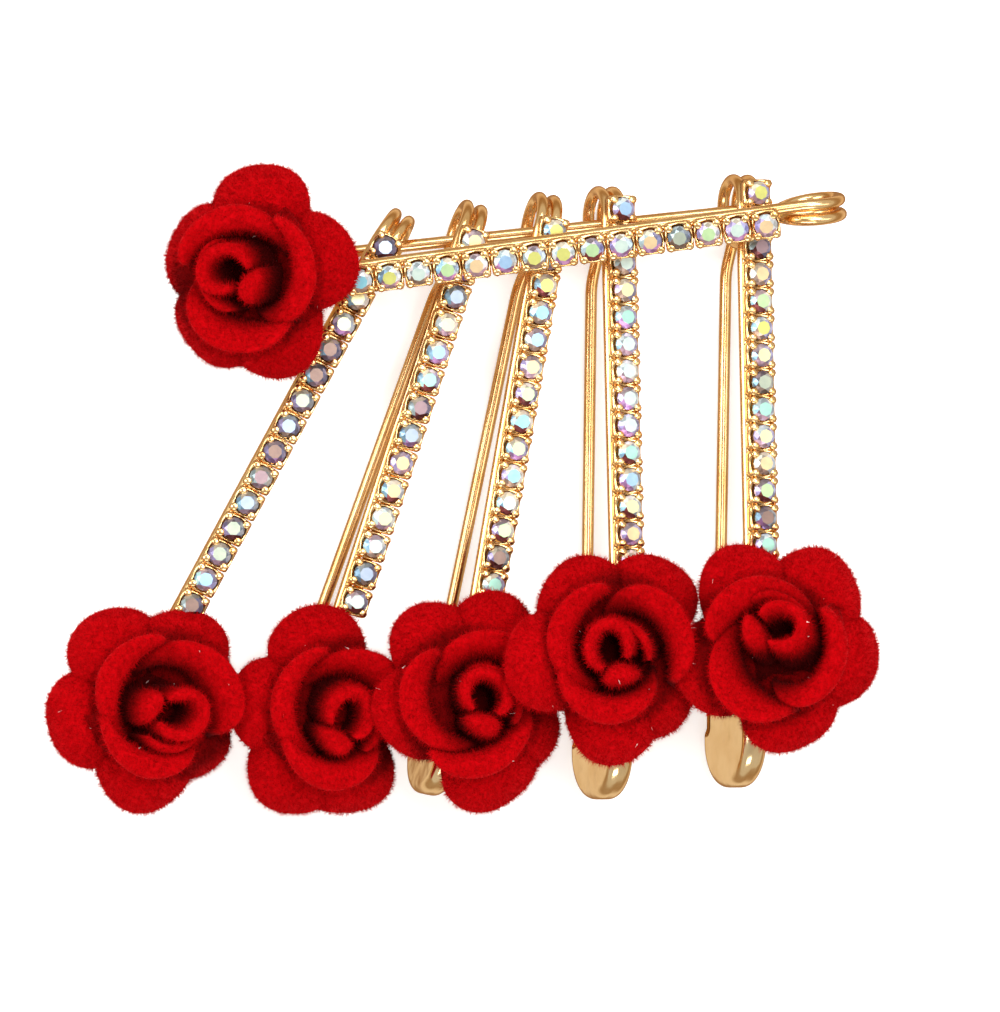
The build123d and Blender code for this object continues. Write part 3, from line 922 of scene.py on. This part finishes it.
def bright_gold(name, dull, clear, wear, dents):
    """Bright gold plate: browner in patches, a little cloudier where it is worn, and with fine
    dents as deep as given, in metres."""
    gold = Finish(name, {"Metallic": 1.0})
    gold.give(gold.ramp(gold.noise(260.0, 4.0), [(0.35, dull), (0.6, clear)]), "Base Color")
    gold.give(gold.span(gold.noise(900.0), gold_polish, gold_polish + wear), "Roughness")
    gold.bump(gold.noise(320.0, 2.0), dents, 0.5)
    return gold.material


def red_velvet():
    """Flock: deep red in clumps, rough, with a soft red sheen, and painted shade that makes it
    nearly black in the folds.
    """
    velvet = Finish("red_flock", {
        "Roughness": 0.95, "Specular IOR Level": 0.05, "Sheen Weight": 0.12,
        "Sheen Roughness": 0.4, "Sheen Tint": (1.0, 0.08, 0.08, 1.0)})
    clumps = velvet.noise(2600.0, 3.0, 0.65)
    lit = velvet.ramp(clumps, [
        (0.3, (0.35, 0.0, 0.001)), (0.55, (0.43, 0.0, 0.002)), (0.75, (0.50, 0.001, 0.004))])
    depth = velvet.attribute("fold_shade_depth")[1]
    # Painted shade: the colour darkens with the depth of the fold
    shade = velvet.ramp(depth, [
        (0.0, (1.0, 1.0, 1.0)), (0.35, (0.62, 0.5, 0.5)), (1.0, (0.10, 0.03, 0.03))])
    velvet.give(velvet.multiplied(lit, shade), "Base Color")
    velvet.bump(velvet.noise(9000.0, 2.0), 0.00006, 0.6)
    return velvet.material


def pale_lint():
    """Pale specks of lint caught in the flock."""
    lint = Finish("pale_lint", {"Roughness": 0.8})
    lint.give(lint.ramp(lint.noise(5000.0), [
        (0.4, (0.75, 0.40, 0.38)), (0.6, (0.95, 0.80, 0.75))]), "Base Color")
    return lint.material


def coated_crystal():
    """Cut glass under an iridescent coating: each facet has the colour of its attribute, and the
    facets other than the table carry painted reflections in it.
    """
    crystal = Finish("coated_crystal", {
        "Roughness": 0.24, "Metallic": 0.5, "Specular IOR Level": 0.3})
    tint = crystal.attribute("facet_tint")[0]
    cloud = crystal.ramp(crystal.noise(1500.0), [
        (0.3, (0.84, 0.86, 0.90)), (0.7, (1.0, 1.0, 1.0))])
    crystal.give(crystal.multiplied(tint, cloud), "Base Color")
    return crystal.material


def dark_glue():
    """Dark calyx and glue under each rose, lumpy and half matt."""
    glue = Finish("dark_glue", {"Roughness": 0.55})
    lumps = glue.noise(900.0, 4.0)
    glue.give(glue.ramp(lumps, [
        (0.35, (0.012, 0.008, 0.007)), (0.7, (0.05, 0.03, 0.025))]), "Base Color")
    glue.bump(lumps, 0.0002, 0.5)
    return glue.material


def pale_floor():
    """A plain white light table, larger than the picture. The gold doesn't mirror it: it mirrors
    the surround's bright ring instead."""
    corners = np.array([(-1, -1, 0), (1, -1, 0), (1, 1, 0), (-1, 1, 0)], float) * floor_half_side
    glow = Finish("light_table", {
        "Roughness": 0.9, "Specular IOR Level": 0.1, "Emission Color": (1.0, 1.0, 1.0, 1.0),
        "Emission Strength": 0.45})
    glow.give(glow.ramp(glow.noise(40.0), [
        (0.3, (0.90, 0.90, 0.90)), (0.7, (0.92, 0.92, 0.92))]), "Base Color")
    floor = mesh_object("floor", corners, [np.array([[0, 1, 2, 3]])], [glow.material])
    floor.visible_glossy = False


def soft_light(name, place, power, width, height, colour):
    """A soft box that shines at the pin from a place in metres."""
    lamp = bpy.data.lights.new(name, "AREA")
    lamp.shape = "RECTANGLE"
    lamp.size = width
    lamp.size_y = height
    lamp.energy = power
    lamp.color = colour
    light = bpy.data.objects.new(name, lamp)
    light.location = place
    light.rotation_euler = (-Vector(place)).to_track_quat("-Z", "Y").to_euler()
    light.visible_camera = False
    bpy.context.scene.collection.objects.link(light)


def studio_lights():
    """Soft boxes round the view from above."""
    soft_light("key", (0.24, 0.16, 0.66), 3.0, 0.26, 0.40, (1.0, 0.99, 0.97))
    soft_light("fill", (-0.46, 0.10, 0.40), 1.8, 0.22, 0.44, (1.0, 0.99, 0.98))
    soft_light("front", (0.0, -0.50, 0.45), 1.5, 0.50, 0.14, (1.0, 1.0, 1.0))
    soft_light("back", (0.0, 0.46, 0.50), 1.3, 0.50, 0.12, (1.0, 1.0, 1.0))
    soft_light("side", (0.52, -0.04, 0.47), 0.5, 0.16, 0.46, (1.0, 0.98, 0.95))


def surround():
    """A surround whose colour follows the height of the direction: pale above the horizon and
    brown below it, with a bright ring low down as of a lit table."""
    world = bpy.data.worlds.new("surround")
    world.use_nodes = True
    nodes, links = world.node_tree.nodes, world.node_tree.links
    height = nodes.new("ShaderNodeSeparateXYZ")
    links.new(nodes.new("ShaderNodeTexCoord").outputs["Generated"], height.inputs["Vector"])
    level = nodes.new("ShaderNodeMapRange")
    level.inputs["From Min"].default_value = -1.0
    links.new(height.outputs["Z"], level.inputs["Value"])
    sky = nodes.new("ShaderNodeValToRGB")
    set_stops(sky, [
        (0.0, (0.50, 0.28, 0.13)), (0.07, (0.50, 0.28, 0.13)), (0.13, (1.15, 0.92, 0.68)),
        (0.21, (1.05, 0.84, 0.62)), (0.32, (0.50, 0.31, 0.16)), (0.50, (0.58, 0.42, 0.27)),
        (0.56, (0.90, 0.84, 0.76)), (1.0, (0.60, 0.57, 0.54))])
    links.new(level.outputs["Result"], sky.inputs["Fac"])
    background = nodes["Background"]
    links.new(sky.outputs["Color"], background.inputs["Color"])
    background.inputs["Strength"].default_value = 0.75
    bpy.context.scene.world = world


def view_from_above():
    """The camera, straight above the middle of the picture, with plain colours."""
    bpy.context.scene.view_settings.view_transform = "Standard"
    camera = bpy.data.objects.new("camera", bpy.data.cameras.new("camera"))
    camera.data.sensor_width = sensor_width
    camera.data.lens = sensor_width * camera_height / picture_width
    camera.location = (picture_middle[0] * MM, picture_middle[1] * MM, camera_height * MM)
    camera.data.clip_start = 0.01
    bpy.context.scene.collection.objects.link(camera)
    bpy.context.scene.camera = camera


def paint(node, material):
    """A CAD node that stays takes a finish in place of its plain one."""
    node.data.materials.clear()
    node.data.materials.append(material)


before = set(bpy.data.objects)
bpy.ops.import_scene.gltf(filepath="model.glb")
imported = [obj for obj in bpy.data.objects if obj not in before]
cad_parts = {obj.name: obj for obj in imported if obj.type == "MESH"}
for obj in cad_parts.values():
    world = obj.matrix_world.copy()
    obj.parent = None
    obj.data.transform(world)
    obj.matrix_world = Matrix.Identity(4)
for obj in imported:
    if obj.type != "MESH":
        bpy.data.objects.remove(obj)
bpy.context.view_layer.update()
gold = bright_gold(
    "gold_wire", dull=(0.84, 0.50, 0.19), clear=(0.96, 0.66, 0.32), wear=0.12, dents=0.00005)
cap_gold = bright_gold(
    "gold_sheet", dull=(0.85, 0.60, 0.30), clear=(0.95, 0.73, 0.42), wear=0.08, dents=0.0004)
velvet = red_velvet()
lint = pale_lint()
crystal = coated_crystal()
glue = dark_glue()
for number, (pin_row, rose_row) in enumerate(zip(pin_rows, rose_rows)):
    pin = pin_place(pin_row)
    pick = np.random.default_rng(first_seed + number)
    gold_wire(pin_row, pin, gold)
    coated_stones(pin_row, pin, crystal, pick)
    flocked_rose(pin_row["name"], rose_row, pin, velvet, lint, pick)
    paint(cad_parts["cap_" + pin_row["name"]], cap_gold)
    paint(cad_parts["pad_" + pin_row["name"]], glue)
pale_floor()
studio_lights()
surround()
view_from_above()
